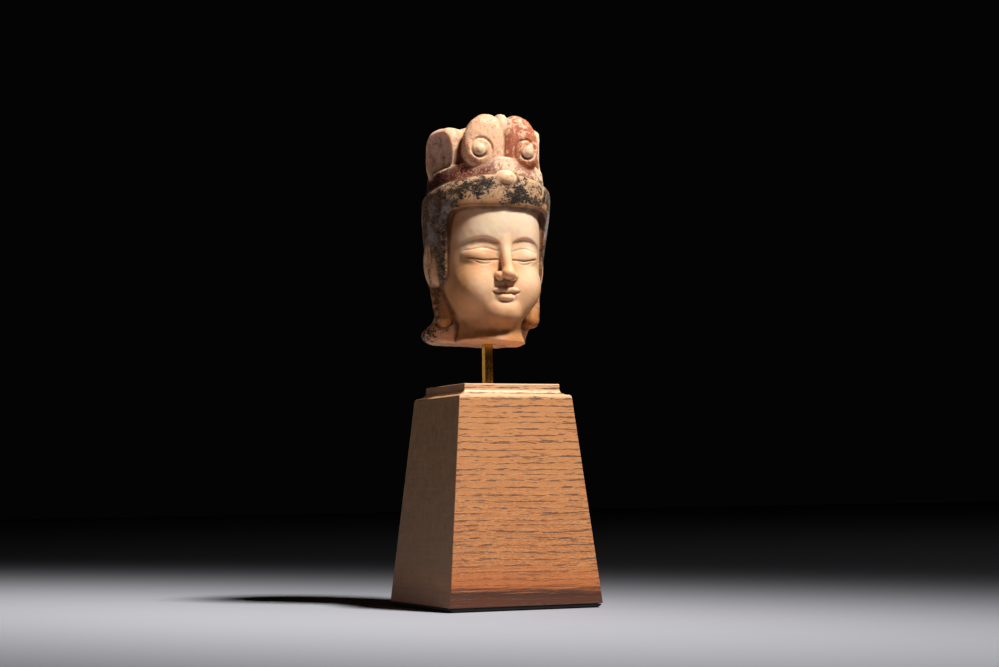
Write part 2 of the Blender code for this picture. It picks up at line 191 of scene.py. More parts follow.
# Rounded masses: centre and radii
CHEEK = (12.5, -16.8, 30.0), (11.5, 9.6, 11.5)
CHIN = (0, -21.2, 16.0), (8.6, 6.8, 6.4)
UNDER_CHIN = (0, -11.0, 9.5), (14.0, 11.0, 5.0)
UPPER_LID = (12.4, -17.6, 46.6), (9.4, 7.3, 5.8)
NOSE_TIP = (0, -30.2, 36.3), (3.8, 4.0, 3.2)
NOSE_WING = (4.0, -27.4, 35.2), (2.6, 3.4, 2.5)
NOSTRIL = (2.3, -30.0, 33.0), (1.2, 1.7, 0.9)
UPPER_LIP = (2.5, -26.0, 27.5), (5.0, 3.3, 1.8)
LOWER_LIP = (0, -25.7, 23.7), (5.2, 3.5, 2.3)
EAR = (30.8, 0.8, 45.5), (3.9, 8.0, 15.4)
EAR_HOLLOW = (35.5, -1.0, 48.5), (2.4, 3.6, 8.8)
KNOB = (14.3, -24.7, 104.5), (3.5, 3.3, 3.5)
JEWEL = (0, -27.4, 88.6), (6.3, 5.2, 4.8)

# Fuller masses: centre, radii and fullness
OUTER_LOBE = (10.0, -20.4, 106.8), (11.4, 6.0, 14.8), 2.2
UPPER_LOBE = (8.2, -20.4, 113.6), (9.0, 5.6, 11.0), 2.15
VOLUTE = (14.0, -20.6, 104.0), (7.8, 6.4, 8.7), 2.2
SIDE_LOBE = (23.6, -3.4, 103.8), (9.5, 12.4, 15.8), 3.0
DISH_ASIDE, DISH_RADII = 11.2, (6.0, 13.4, 16.8)
DOME = (0, 2.0, 98.0), (27.0, 24.5, 23.5), 2.5
BUMP = (0.9, -19.6, 117.4), (4.4, 5.0, 7.9), 2.3

# Round bars: start, end, radius at the start and at the end
NOSE_RIDGE = (0, -24.2, 56.0), (0, -29.5, 38.0), 2.7, 3.0
EAR_SLOT = (34.0, 0.2, 40.0), (32.7, 0.6, 34.0), 1.0, 0.8
EAR_RIDGE = (34.1, -0.2, 54.0), (33.7, 0.3, 42.5), 0.5, 1.0
SIDE_LOCK = (29.4, 2.4, 33.0), (26.4, -0.8, 13.8), 3.8, 4.7

# The scroll's groove: degrees round the knob from its inner side over the top, distance and depth
SCROLL_MIDDLE = (14.1, 104.4)
SCROLL_TURNS = (-60.0, -30.0, 0.0, 45.0, 90.0, 135.0, 180.0, 225.0, 270.0, 315.0, 355.0)
SCROLL_REACHES = (8.4, 7.8, 7.3, 6.8, 6.2, 5.3, 4.6, 4.3, 4.2, 4.1, 4.0)
SCROLL_DEPTHS = (0.0, 0.6, 1.0, 1.0, 0.9, 0.7, 0.7, 1.1, 1.7, 1.4, 0.0)
SCROLL_GROOVE = 0.7


def groove(across, width, depth):
    """How deep a soft groove is, this far across from its middle line."""
    return depth * bell(across / width)


def within(place, reach, softness):
    """1 where the place is nearer to zero than the reach, 0 beyond it, softly."""
    return rise((reach - np.abs(place)) / softness)


def eyes(form, q):
    """Calm eyes, nearly closed: a full upper lid, a fold above it, the slit and a low lower lid."""
    x, _, z = q.T
    form = joined(form, ball(q, *UPPER_LID), 2.2)
    aside = x - EYE_ASIDE
    slit = LID_SLIT - 1.0 * bell(aside / 6.0) + 0.06 * aside
    fold = LID_FOLD + 1.9 * bell(aside / 6.5) + 0.03 * aside
    lower = slit - 2.0 * bell((x - LID_ASIDE) / 6.0)
    form = form + groove(z - slit, width=0.42, depth=0.9) * within(x - LID_ASIDE, 8.0, 0.8)
    form = form + groove(z - fold, width=0.5, depth=0.3) * within(x - FOLD_ASIDE, 8.8, 1.2)
    return form + groove(z - lower, width=0.6, depth=0.25) * within(x - LID_ASIDE, 6.8, 1.2)


def nose(form, p, q):
    """A straight, fine nose with small wings and nostrils."""
    form = joined(form, limb(p, *NOSE_RIDGE), 2.6)
    form = joined(form, ball(p, *NOSE_TIP), 1.8)
    form = joined(form, ball(q, *NOSE_WING), 1.0)
    return without(form, ball(q, *NOSTRIL), 0.7)


def mouth(form, p, q):
    """Small closed lips with a bowed line between them, and a shallow hollow under the nose."""
    x, _, z = q.T
    form = joined(form, ball(q, *UPPER_LIP), 0.9)
    form = joined(form, ball(p, *LOWER_LIP), 1.1)
    line = LIP_LINE + 0.5 * bell((x - 2.6) / 1.6) + 0.014 * x * x
    form = form + groove(z - line, width=0.48, depth=1.1) * within(x, 7.6, 0.8)
    hollow = groove(x, width=1.1, depth=0.45)
    return form + hollow * rise((z - 28.6) / 0.8) * rise((32.4 - z) / 0.8)


def face(p):
    """A calm, full face on a plain canon: thirds from hairline to brow, nose and chin."""
    q = mirrored(p)
    x, _, z = q.T
    form = column(p, FACE_OUTLINES, FACE_FULLNESS)
    form = joined(form, ball(q, *CHEEK), 6.0)
    form = joined(form, ball(p, *CHIN), 4.5)
    form = joined(form, ball(p, *UNDER_CHIN), 4.0)
    brow = BROW + 4.6 * np.sin(np.clip((x - 1.5) / 23.0, 0, 1) * math.pi) ** 0.8
    reach = bell((x - 11.0) / 10.5) * rise((x - 3.6) / 1.4)
    form = form + 1.8 * reach * rise((brow - z) / 0.8) * bell((brow - z) / 8.0)
    return mouth(nose(eyes(form, q), p, q), p, q)


def neck(p):
    return column(p, NECK_OUTLINES, NECK_FULLNESS)


def hair(p):
    """Hair: a thick roll over the forehead, strands before the ears and a flare at the nape."""
    x, z = np.abs(p[:, 0]), p[:, 2]
    turn = np.arctan2(x, -p[:, 1])
    top = 81.0 + 11.0 * bell(turn / 1.3)
    form = common(column(p, HAIR_OUTLINES, HAIR_FULLNESS), z - top, 5.0)
    hairline = HAIRLINE + 1.2 * bell(x / 2.6) - 0.02 * np.maximum(x - 18.0, 0.0) ** 2
    sides = 0.96 * (x - 27.2 + 0.3 * (p[:, 1] + 8.0))
    window = common(common(sides, z - hairline, 3.0), p[:, 1] + 6.0, 2.5)
    return without(form, window, 1.6)


def ears(p):
    """Long ears that lie back against the hair, with a rim, an inner ridge and a stretched lobe."""
    q = mirrored(p)
    hollow = ball(q, *EAR_HOLLOW, -EAR_TURN)
    form = without(without(ball(q, *EAR, -EAR_TURN), hollow, 0.7), limb(q, *EAR_SLOT), 0.7)
    form = joined(form, limb(q, *EAR_RIDGE), 0.8)
    centre, (_, half_depth, half_height) = EAR
    out, back, up = from_centre(q, centre, -EAR_TURN).T
    rim = groove(np.hypot(back / half_depth, up / half_height) - 0.74, width=0.07, depth=0.5)
    return form + rim * rise((up + 4.0) / 2.0) * rise(out / 0.6)


def side_locks(p):
    return limb(mirrored(p), *SIDE_LOCK)


def scroll_groove(q):
    """How deep the scroll's spiral groove is cut at each point."""
    dx, dz = q[:, 0] - SCROLL_MIDDLE[0], q[:, 2] - SCROLL_MIDDLE[1]
    out = np.hypot(dx, dz)
    around = np.degrees(np.arctan2(dz, -dx))
    cut = np.zeros(len(q))
    for turn in (around, around + 360.0):
        middle = np.interp(turn, SCROLL_TURNS, SCROLL_REACHES)
        depth = np.interp(turn, SCROLL_TURNS, SCROLL_DEPTHS)
        cut = np.maximum(cut, groove(out - middle, SCROLL_GROOVE, depth))
    return cut


def tier(p):
    """The band above the hair, whose upper edge rises in front."""
    turn = np.arctan2(np.abs(p[:, 0]), -p[:, 1])
    above = p[:, 2] - 90.0 - 10.8 * bell(turn / 1.35)
    return common(column(p, TIER_OUTLINES, TIER_FULLNESS), above, 0.9)


def side_lobes(p):
    """A lobe at each side, hollowed like a dish on its outer face."""
    centre, radii, fullness = SIDE_LOBE
    outward = np.array((math.cos(SIDE_LOBE_TURN), -math.sin(SIDE_LOBE_TURN), 0.0))
    step = np.where(p[:, 0] < 0, SIDE_LOBE_STEP, -SIDE_LOBE_STEP)
    stepped = mirrored(p) + np.outer(step, (0, 0, 1))
    side = pillow(stepped, centre, radii, fullness, -SIDE_LOBE_TURN)
    dish = ball(stepped, np.array(centre) + DISH_ASIDE * outward, DISH_RADII, -SIDE_LOBE_TURN)
    return without(side, dish, 0.5)


def scrolls(p):
    """The two front lobes, each rolled into a scroll round a knob."""
    q = mirrored(p)
    r = mirrored(p - np.array((CLEFT_ASIDE, 0.0, 0.0)))
    r[:, 0] /= np.where(p[:, 0] < CLEFT_ASIDE, WIDER_LOBE, 1.0)
    lobe = joined(pillow(r, *OUTER_LOBE), pillow(r, *UPPER_LOBE), 2.0)
    lobe = common(lobe, CLEFT_HALF - r[:, 0], 0.7)
    front = joined(lobe, pillow(q, *VOLUTE), 1.2) + scroll_groove(q)
    return joined(front, ball(q, *KNOB), 0.35)


def crown(p):
    """A low tier, two scrolled lobes in front, a dished lobe at each side and a dome behind."""
    form = joined(joined(tier(p), pillow(p, *DOME), 1.5), side_lobes(p), 0.9)
    form = joined(joined(form, scrolls(p), 0.5), pillow(p, *BUMP), 0.4)
    return joined(form, ball(p, *JEWEL), 0.35)


def break_height(p):
    """The neck's broken edge: it waves a little, and steps up where the hair at +X is lost."""
    x, y = p[:, 0], p[:, 1]
    rising = 11.0 * rise((x - 24.8) / 2.2) + 0.004 * np.maximum(-x - 18.0, 0.0) ** 2
    waves = 0.5 * np.sin(x / 5.3 + 0.6) * np.cos(y / 6.1) + 0.3 * np.sin(y / 3.7 + x / 9.0)
    return 0.2 - 0.035 * x + rising + waves


def worn(p, size):
    """A slow, uneven wave over the surface, as hand carving and wear leave it."""
    x, y, z = p.T / size
    return (np.sin(1.3 * x + 0.7 * np.sin(1.1 * z + 0.4)) * np.cos(1.2 * y - 0.5 * z)
            + 0.6 * np.sin(2.3 * y + 1.7 * z + 0.8 * np.sin(1.9 * x)) * np.cos(1.8 * x + 0.6 * z))


def bar_hole(p):
    """The square hole that holds the bar, a closed box in the neck."""
    half = ((BAR_HIGH.x - BAR_LOW.x) / 2 + HOLE_ROOM) / MM
    top = (BAR_IN_HEAD + HOLE_ROOM) / MM
    return np.maximum(np.maximum(np.abs(p[:, 0]), np.abs(p[:, 1])) - half, p[:, 2] - top)


def head(p):
    """The whole head, with the break under the neck and the hole for the bar."""
    rough = 0.1 * worn(p, 3.2) * rise((p[:, 2] - 80.0) / 3.0) + 0.04 * worn(p, 1.5)
    form = joined(hair(p), face(p), 1.2)
    form = joined(form, neck(p), 2.2)
    chipped = break_height(p) + 0.12 * worn(p, 1.1)
    form = common(form, chipped - p[:, 2], 1.2)
    form = joined(form, side_locks(p), 1.8)
    form = joined(form, ears(p), 0.9)
    form = joined(form, crown(p), 0.7) + rough
    return np.maximum(form, -bar_hole(p))


# Working the skin of the head

# In a pass: how far points relax, the longest move, the step that feels the form's slope, and the
# least slope, squared, that a move is worked out from
RELAXING = 0.5
LONGEST_MOVE = 0.8
SLOPE_STEP = 0.03
LEAST_SLOPE = 0.05

# Boxes in which the carving is finer: x (on either side), y and z, from and to
FINE_ZONES = (
    ((0, 24), (-40, -15), (19, 61)),
    ((0, 25), (-40, -21.5), (93, 117)),
    ((29, 40), (-9, 10), (28, 62)),
    ((0, 40), (-40, -8), (-3, 2.6)),
)

# How far out the space in front of each point is probed, and what each probe counts
DEPTH_PROBES = ((0.8, 0.25), (2.0, 0.35), (5.0, 0.40))

# How far a point lies out of or in its smoothed skin where the mask of edges or creases is full
SMOOTHINGS = 10
FULL_EDGE = 0.25
FULL_CREASE = 0.22
MASK_SOFTNESS = 0.6


def skin_points(mesh):
    points = np.empty(len(mesh.vertices) * 3)
    mesh.vertices.foreach_get("co", points)
    return points.reshape(-1, 3)


def skin_ends(mesh):
    ends = np.empty(len(mesh.edges) * 2, int)
    mesh.edges.foreach_get("vertices", ends)
    return ends.reshape(-1, 2)


def relaxed(points, ends):
    """Each point moved by a share of the way to the middle of its neighbours."""
    total = np.zeros_like(points)
    count = np.zeros(len(points))
    for a, b in ((ends[:, 0], ends[:, 1]), (ends[:, 1], ends[:, 0])):
        count += np.bincount(a, minlength=len(points))
        for axis in range(3):
            total[:, axis] += np.bincount(a, weights=points[b, axis], minlength=len(points))
    return (1 - RELAXING) * points + RELAXING * total / np.maximum(count, 1)[:, None]


def onto_form(points, form):
    """Each point moved straight onto the form's surface, by no more than the longest move."""
    value = form(points)
    slope = np.empty_like(points)
    for axis in range(3):
        shift = np.zeros(3)
        shift[axis] = SLOPE_STEP
        slope[:, axis] = (form(points + shift) - value) / SLOPE_STEP
    steepness = np.maximum((slope ** 2).sum(axis=1), LEAST_SLOPE)
    move = -slope * (value / steepness)[:, None]
    length = np.linalg.norm(move, axis=1)
    return points + move * np.minimum(1.0, LONGEST_MOVE / np.maximum(length, 1e-9))[:, None]


def placed(name, data):
    """A new object with this data, in the scene."""
    made = bpy.data.objects.new(name, data)
    bpy.context.scene.collection.objects.link(made)
    return made


def merged_copy(node):
    """A CAD node's mesh with its loose triangles joined into one skin."""
    shape = bmesh.new()
    shape.from_mesh(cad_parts[node].data)
    bmesh.ops.remove_doubles(shape, verts=shape.verts, dist=1e-6)
    mesh = bpy.data.meshes.new(node + "_skin")
    shape.to_mesh(mesh)
    shape.free()
    return mesh


def even_skin(mesh, voxel):
    """The mesh as one even skin, with faces this wide."""
    holder = placed("skin", mesh)
    remesh = holder.modifiers.new("even skin", "REMESH")
    remesh.mode = "VOXEL"
    remesh.voxel_size = voxel
    bpy.context.view_layer.update()
    evaluated = holder.evaluated_get(bpy.context.evaluated_depsgraph_get())
    made = bpy.data.meshes.new_from_object(evaluated)
    bpy.data.objects.remove(holder)
    bpy.data.meshes.remove(mesh)
    return made


def finer_in_zones(mesh):
    """Halves the edges inside the zones, so that lids, lips, scrolls and ears come out crisp."""
    shape = bmesh.new()
    shape.from_mesh(mesh)
    places = (np.array([vertex.co for vertex in shape.verts]) - HEAD_AXIS) / MM
    places[:, 0] = np.abs(places[:, 0])
    inside = np.zeros(len(places), bool)
    for zone in FINE_ZONES:
        fits = np.ones(len(places), bool)
        for axis, (low, high) in enumerate(zone):
            fits &= (places[:, axis] >= low) & (places[:, axis] <= high)
        inside |= fits
    picked = [edge for edge in shape.edges if all(inside[vertex.index] for vertex in edge.verts)]
    bmesh.ops.subdivide_edges(shape, edges=picked, cuts=1, use_grid_fill=True)
    bmesh.ops.triangulate(shape, faces=[face for face in shape.faces if len(face.verts) > 4])
    shape.to_mesh(mesh)
    shape.free()


def carved(mesh, rounds):
    """Works the skin down onto the head's form, smoothed between the passes; gives its points."""
    points = (skin_points(mesh) - HEAD_AXIS) / MM
    ends = skin_ends(mesh)
    for step in range(rounds):
        points = onto_form(points, head)
        if step < rounds - 2:
            points = relaxed(points, ends)
    mesh.vertices.foreach_set("co", (points * MM + HEAD_AXIS).ravel())
    mesh.update()
    return points


def write_mask(mesh, name, values):
    layer = mesh.attributes.new(name, "FLOAT", "POINT")
    layer.data.foreach_set("value", np.clip(values, 0.0, 1.0).astype(np.float32))


def nearest_form(own, others):
    """1 where this form is the outermost one, with a soft change to its neighbours."""
    return rise((np.minimum.reduce(others) - own) / MASK_SOFTNESS)


def write_masks(mesh, p):
    """Masks of where each form shows, and of hollows, edges, creases and the break."""
    bare = np.minimum(face(p), neck(p))
    forms = {
        "hair": hair(p),
        "lock": side_locks(p),
        "ear": ears(p),
        "tier": tier(p),
        "side_lobe": side_lobes(p),
        "scroll": scrolls(p),
        "knob": np.minimum(ball(mirrored(p), *KNOB), ball(p, *JEWEL)),
        "dome": np.minimum(pillow(p, *DOME), pillow(p, *BUMP)),
    }
    for name, own in forms.items():
        others = [form for other, form in forms.items() if other != name]
        write_mask(mesh, name, nearest_form(own, [bare, *others]))
    normals = np.empty(len(p) * 3)
    mesh.vertex_normals.foreach_get("vector", normals)
    normals = normals.reshape(-1, 3)
    # How hidden each point is; this mask sets the painted shade in the hollows.
    hidden = np.zeros(len(p))
    for distance, weight in DEPTH_PROBES:
        hidden += weight * np.clip(1.0 - head(p + normals * distance) / distance, 0.0, 1.0)
    write_mask(mesh, "depth", hidden)
    ends = skin_ends(mesh)
    smooth = p
    for _ in range(SMOOTHINGS):
        smooth = relaxed(smooth, ends)
    bulge = ((p - smooth) * normals).sum(axis=1)
    write_mask(mesh, "edge", bulge / FULL_EDGE)
    write_mask(mesh, "crease", -bulge / FULL_CREASE)
    write_mask(mesh, "broken", rise((p[:, 2] - break_height(p) - 0.6) / -0.3))


# Shader maths, written as Python expressions

class Wire:
    """A value in a material; arithmetic on it adds Math nodes."""

    def __init__(self, recipe, socket):
        self.recipe = recipe
        self.socket = socket

    def maths(self, operation, *values):
        return self.recipe.node("ShaderNodeMath", {"operation": operation}, dict(enumerate(values)))

    def __add__(self, other):
        return self.maths("ADD", self, other)

    def __sub__(self, other):
        return self.maths("SUBTRACT", self, other)

    def __rsub__(self, other):
        return self.maths("SUBTRACT", other, self)

    def __mul__(self, other):
        return self.maths("MULTIPLY", self, other)

    def __truediv__(self, other):
        return self.maths("DIVIDE", self, other)

    def __pow__(self, other):
        return self.maths("POWER", self, other)

    def __abs__(self):
        return self.maths("ABSOLUTE", self)

    __radd__ = __add__
    __rmul__ = __mul__

    def held(self):
        """Kept between 0 and 1."""
        above = self.maths("MAXIMUM", self, 0.0)
        return above.maths("MINIMUM", above, 1.0)

    def ramped(self, low, high):
        """0 at low, 1 at high, with a soft start and end; low may be above high."""
        settings = {"interpolation_type": "SMOOTHSTEP"}
        turned = low > high
        ends = (high, low) if turned else (low, high)
        values = {0: self, 1: ends[0], 2: ends[1]}
        value = self.recipe.node("ShaderNodeMapRange", settings, values)
        return 1.0 - value if turned else value


class Recipe:
    """A material being put together from nodes, one coat of colour over another."""

    def __init__(self, name):
        self.material = bpy.data.materials.new(name)
        self.material.use_nodes = True
        self.tree = self.material.node_tree
        self.shader = self.tree.nodes["Principled BSDF"]
        self.place = self.node("ShaderNodeTexCoord", output="Object")
        self.colour = None

    def node(self, kind, settings=None, values=None, output=0):
        """Any node: its settings, the values or wires of its sockets, and the output asked for."""
        made = self.tree.nodes.new(kind)
        for name, value in (settings or {}).items():
            setattr(made, name, value)
        for key, value in (values or {}).items():
            self.set(made.inputs[key], value)
        return Wire(self, made.outputs[output])

    def set(self, socket, value):
        if isinstance(value, Wire):
            self.tree.links.new(value.socket, socket)
        else:
            socket.default_value = value

    def feed(self, **values):
        """Values or wires for the shader's own sockets, named with underscores."""
        for name, value in values.items():
            self.set(self.shader.inputs[name.replace("_", " ")], value)

    def mask(self, name):
        return self.node("ShaderNodeAttribute", {"attribute_name": name}, output="Fac")

    def axes(self, place=None):
        """The three coordinates of a place as values."""
        split = self.tree.nodes.new("ShaderNodeSeparateXYZ")
        self.tree.links.new((place or self.place).socket, split.inputs[0])
        return [Wire(self, socket) for socket in split.outputs]

    def facing(self):
        """How much the surface faces along each axis, on either side."""
        normal = self.node("ShaderNodeNewGeometry", output="Normal")
        return [abs(part) for part in self.axes(normal)]

    def stretched(self, scale, turn=(0.0, 0.0, 0.0), start=(0.0, 0.0, 0.0)):
        """The object's coordinates scaled along each axis, as for grain."""
        values = {"Vector": self.place, "Location": start, "Rotation": turn, "Scale": scale}
        return self.node("ShaderNodeMapping", None, values)

    def noise(self, feature, place=None, detail=4.0, roughness=0.55, warp=0.0):
        """Noise whose patches are about this long, in the unit of the place."""
        values = {"Vector": place or self.place, "Scale": 1.0 / feature, "Detail": detail,
                  "Roughness": roughness, "Distortion": warp}
        return self.node("ShaderNodeTexNoise", None, values)

    def blend(self, share, below, above):
        """Two colours mixed: a share of 0 gives the one below."""
        below, above = (c if isinstance(c, Wire) else (*c, 1.0) for c in (below, above))
        values = {0: share, 6: below, 7: above}
        return self.node("ShaderNodeMix", {"data_type": "RGBA"}, values, output=2)

    def coat(self, share, colour):
        """Lays a colour over the ones so far; a share of 0 leaves them as they are."""
        self.colour = self.blend(share, self.colour, colour)

    def bump(self, height, distance, strength):
        values = {"Height": height, "Distance": distance, "Strength": strength}
        return self.node("ShaderNodeBump", None, values)


# Finishes

class Marble(Recipe):
    """The marble in the making, with the places and patterns that its layers share."""

    def __init__(self):
        super().__init__("worn_marble")
        x, y, z = self.axes()
        self.height = (z - float(HEAD_AXIS[2])) / MM
        self.aside = x / MM
        self.outward = abs(self.aside)
        self.beside_ear = self.outward + y / MM * 0.9
        self.mottle = self.noise(0.0055, detail=6.0, roughness=0.62)
        self.speck = self.noise(0.0010, detail=4.0, roughness=0.7)
        flat = self.stretched((1.0, 1.0, 1.2), start=(0.05, 0.02, 0.0))
        self.fine = self.noise(0.0030, flat, 8.0, 0.74, 0.4)
        tall = self.stretched((1.0, 1.0, 0.7), start=(0.11, 0.07, 0.0))
        self.streak = self.noise(0.011, tall, 6.0, 0.62, 0.3)
        self.hair, self.lock, self.ear = self.mask("hair"), self.mask("lock"), self.mask("ear")
        self.tier, self.scroll = self.mask("tier"), self.mask("scroll")
        self.lobe, self.knob = self.mask("side_lobe"), self.mask("knob")
        self.dome, self.edge = self.mask("dome"), self.mask("edge")
        self.side = self.outward.ramped(24.0, 31.0)
        self.right = self.aside.ramped(0.5, 2.0)
        across, self.above_knob = self.outward - SCROLL_MIDDLE[0], self.height - SCROLL_MIDDLE[1]
        self.from_knob = (across * across + self.above_knob * self.above_knob) ** 0.5

    def rough(self, pattern, strength):
        """A pattern whose outlines are broken up by this much of the finest grain."""
        return pattern + (self.speck - 0.5) * strength


def bare_stone(m, s):
    """Warm clouds, browner beside the hair and low on the neck; the browning and the warmth lower
    on the face are partly stain and partly painted shade.
    """
    height, mottle = m.height, m.mottle
    cloud = m.noise(0.028, detail=3.0)
    # Real clouds, and painted shade: warmer and darker lower on the face.
    warmth = cloud.ramped(0.38, 0.70) * 0.7 + height.ramped(60.0, 40.0) * 0.45
    m.colour = m.blend(warmth.held(), s.stone, s.warm_stone)
    # Partly stain, partly painted shade: browner towards the sides of the face, which turn from the
    # light.
    beside = m.outward.ramped(13.0, 28.0) * height.ramped(80.0, 66.0) * (cloud + 0.4).held()
    m.coat(beside * (1.0 - m.ear) * 0.75, s.brown_stone)
    m.coat(mottle.ramped(0.55, 0.75) * 0.3, s.warm_stone)
    # Partly stain, partly painted shade: browner low on the neck, under the chin.
    low = height.ramped(24.0, 8.0) * (mottle * 0.6 + 0.6).held()
    m.coat(low * 0.88, s.brown_stone)


def hair_ground(m, s):
    """Tan under the hair's black, browner at the lower edge of the roll and pink on the nape."""
    height = m.height
    low_edge = height.ramped(78.0, 74.0) * (1.0 - m.side * 0.8)
    ground = m.blend(low_edge * 0.75, s.hair_ground, s.brown_stone)
    ground = m.blend(height.ramped(20.0, 12.0) * 0.95, ground, s.pink_ground)
    m.coat(m.hair * (m.mottle.ramped(0.3, 0.6) * 0.3 + 0.68), ground)


def hair_black(m, s):
    """Patches of black with sooty edges: most on the sides, least on worn edges and low down."""
    height, side = m.height, m.side
    wide = m.stretched((1.0, 1.0, 1.25), start=(0.013, 0.0, 0.004))
    patch = m.noise(0.0105, wide, 6.0, 0.62, 0.4)
    strip = side * height.ramped(70.0, 64.0) * height.ramped(20.0, 34.0)
    under_jewel = m.outward.ramped(6.0, 2.0) * height.ramped(82.0, 80.0)
    barer = height.ramped(16.0, 8.0) * 0.05 - under_jewel * 0.03
    low_edge = height.ramped(77.0, 74.0) * (1.0 - side)
    cover = (patch * 0.5 + m.fine * 0.5 + side * 0.05 + strip * 0.05 + 0.012
             - barer - m.edge * 0.04 - low_edge * 0.05)
    m.coat(m.hair * m.rough(cover, 0.25).ramped(0.40, 0.52) * 0.5, s.soot)
    weathered = (side * 0.75 + m.streak.ramped(0.45, 0.65) * 0.3).held()
    weathered = weathered * (m.speck + m.fine - 0.3).held()
    pigment = m.blend(weathered, s.black_pigment, s.soot)
    share = m.hair * m.rough(cover, 0.14).ramped(0.48, 0.53)
    m.coat(share * (0.97 - m.speck.ramped(0.54, 0.64) * 0.35), pigment)


def hair_sides(m, s):
    """Tan and black grains and a bluish bloom on the sides, and black behind the locks."""
    grains = m.fine * 0.45 + m.speck * 0.55
    m.coat(m.hair * m.side * grains.ramped(0.47, 0.41) * 0.7, s.hair_ground)
    m.coat(m.hair * m.side * grains.ramped(0.51, 0.55) * 0.9, s.black_pigment)
    behind = m.lock * m.beside_ear.ramped(29.0, 33.0) * m.fine.ramped(0.4, 0.52)
    m.coat(behind * 0.8, s.black_pigment)
    upper = m.hair * m.side * m.height.ramped(50.0, 60.0)
    m.coat(upper * m.rough(m.streak, 0.4).ramped(0.48, 0.64) * 0.5, s.grey_bloom)


def tier_paint(m, s):
    """Purple-red at the ends, nearly bare in the middle and on the edge, sooty low down."""
    outward = m.outward
    m.coat(m.tier * 0.2, s.pink_ground)
    ends = m.aside.ramped(-3.0, -15.0) * 0.17 + m.aside.ramped(7.0, 20.0) * 0.05
    cover = (m.streak * 0.45 + m.fine * 0.55 + ends - m.edge * 0.12
             - outward.ramped(10.0, 4.0) * 0.03 - 0.035)
    share = m.tier * m.rough(cover, 0.45).ramped(0.45, 0.57)
    m.coat(share * (1.0 - m.speck.ramped(0.50, 0.60) * 0.5), s.tier_red)
    low = outward * 0.014 - m.height * 0.02 + m.fine
    m.coat(m.tier * m.rough(low, 0.4).ramped(-0.98, -0.82) * 0.85, s.black_pigment)


def scroll_paint(m, s):
    """Orange-pink with fine flecks on one scroll, mottled red round the knob on the other."""
    speck, fine = m.speck, m.fine
    m.coat(m.scroll * 0.75, s.pink_ground)
    flecks = (speck * 0.6 + fine * 0.4).ramped(0.49, 0.58)
    m.coat(m.scroll * flecks * 0.6, s.orange_pigment)
    rusty = speck * 0.5 + fine * 0.5 + m.outward.ramped(17.0, 23.0) * 0.05
    m.coat(m.scroll * rusty.ramped(0.57, 0.63) * 0.75, s.scroll_red)
    cover = m.streak * 0.35 + fine * 0.65 + m.from_knob.ramped(4.0, 9.0) * 0.07 - 0.037
    share = m.scroll * m.right * m.rough(cover, 0.22).ramped(0.47, 0.54)
    m.coat(share * (0.9 - speck.ramped(0.52, 0.62) * 0.4), s.scroll_red)
    under = m.scroll * m.height.ramped(102.0, 97.0)
    m.coat(under * (m.mottle + m.right * 0.12).ramped(0.42, 0.6) * 0.75, s.scroll_red)


def lobe_paint(m, s):
    """Side lobes orange on the rim, greyish in the dish and purple-brown next to the scrolls."""
    mottle, fine = m.mottle, m.fine
    sideways = m.facing()[0]
    m.coat(m.lobe * 0.35, s.pink_ground)
    dish = m.lobe * sideways.ramped(0.45, 0.8) * (1.0 - m.edge)
    m.coat(dish * (fine.ramped(0.35, 0.6) * 0.9 + 0.1), s.lavender)
    m.coat(dish * (mottle * 0.6 + fine * 0.4).ramped(0.48, 0.60) * 0.4, s.dirt_and_shade)
    m.coat(m.lobe * m.rough(fine, 0.3).ramped(0.50, 0.62) * 0.5, s.orange_pigment)
    inner = sideways.ramped(0.6, 0.3) * m.height.ramped(112.0, 98.0)
    m.coat(m.lobe * (inner * 0.3 + mottle).ramped(0.55, 0.75) * 0.7, s.tier_red)


def knob_paint(m, s):
    """Pale orange knobs and jewel, and a plainer dome in keeping with the scrolls."""
    m.coat(m.knob * 0.85, s.knob_stone)
    blush = (m.rough(m.fine, 0.2) + m.right * 0.03).ramped(0.51, 0.60)
    m.coat(m.knob * blush * 0.55, s.orange_pigment)
    m.coat(m.dome * 0.5, s.pink_ground)
    m.coat(m.dome * m.fine.ramped(0.5, 0.6) * 0.4, s.orange_pigment)


def dirt_and_shade(m, s):
    """Painted shade in the hollows and creases and a painted shadow under each knob, over real
    brown stains and pits; the break under the neck is cleaner.
    """
    mottle, fine = m.mottle, m.fine
    depth, crease, broken = m.mask("depth"), m.mask("crease"), m.mask("broken")
    # Painted shade: brown where the open space in front of the skin is hidden.
    m.coat((depth * 1.25 - 0.40 + (mottle - 0.5) * 0.6).held() * 0.85, s.dirt_and_shade)
    # Painted shade in the creases, and a painted shadow: a dark crescent under each knob.
    under_knob = m.from_knob.ramped(5.2, 4.4) * m.above_knob.ramped(-1.0, -3.0)
    plain = crease * (1.0 - m.scroll * 0.9) * (mottle.ramped(0.3, 0.6) * 0.3 + 0.5)
    m.coat((plain + m.scroll * under_knob * crease * 0.9).held(), s.dirt_and_shade)
    stains = (m.lock + m.ear).held() * (fine * 0.6 + mottle * 0.4).ramped(0.5, 0.58)
    m.coat(stains * 0.5, s.dirt_and_shade)
    crown_here = (m.scroll + m.lobe + m.tier + m.dome).held()
    spots = m.speck.ramped(0.62, 0.69) * fine.ramped(0.47, 0.55)
    m.coat(spots * (crown_here * 0.65 + 0.2), s.dirt_and_shade)
    m.coat(broken * (1.0 - m.hair) * 0.3, s.stone)


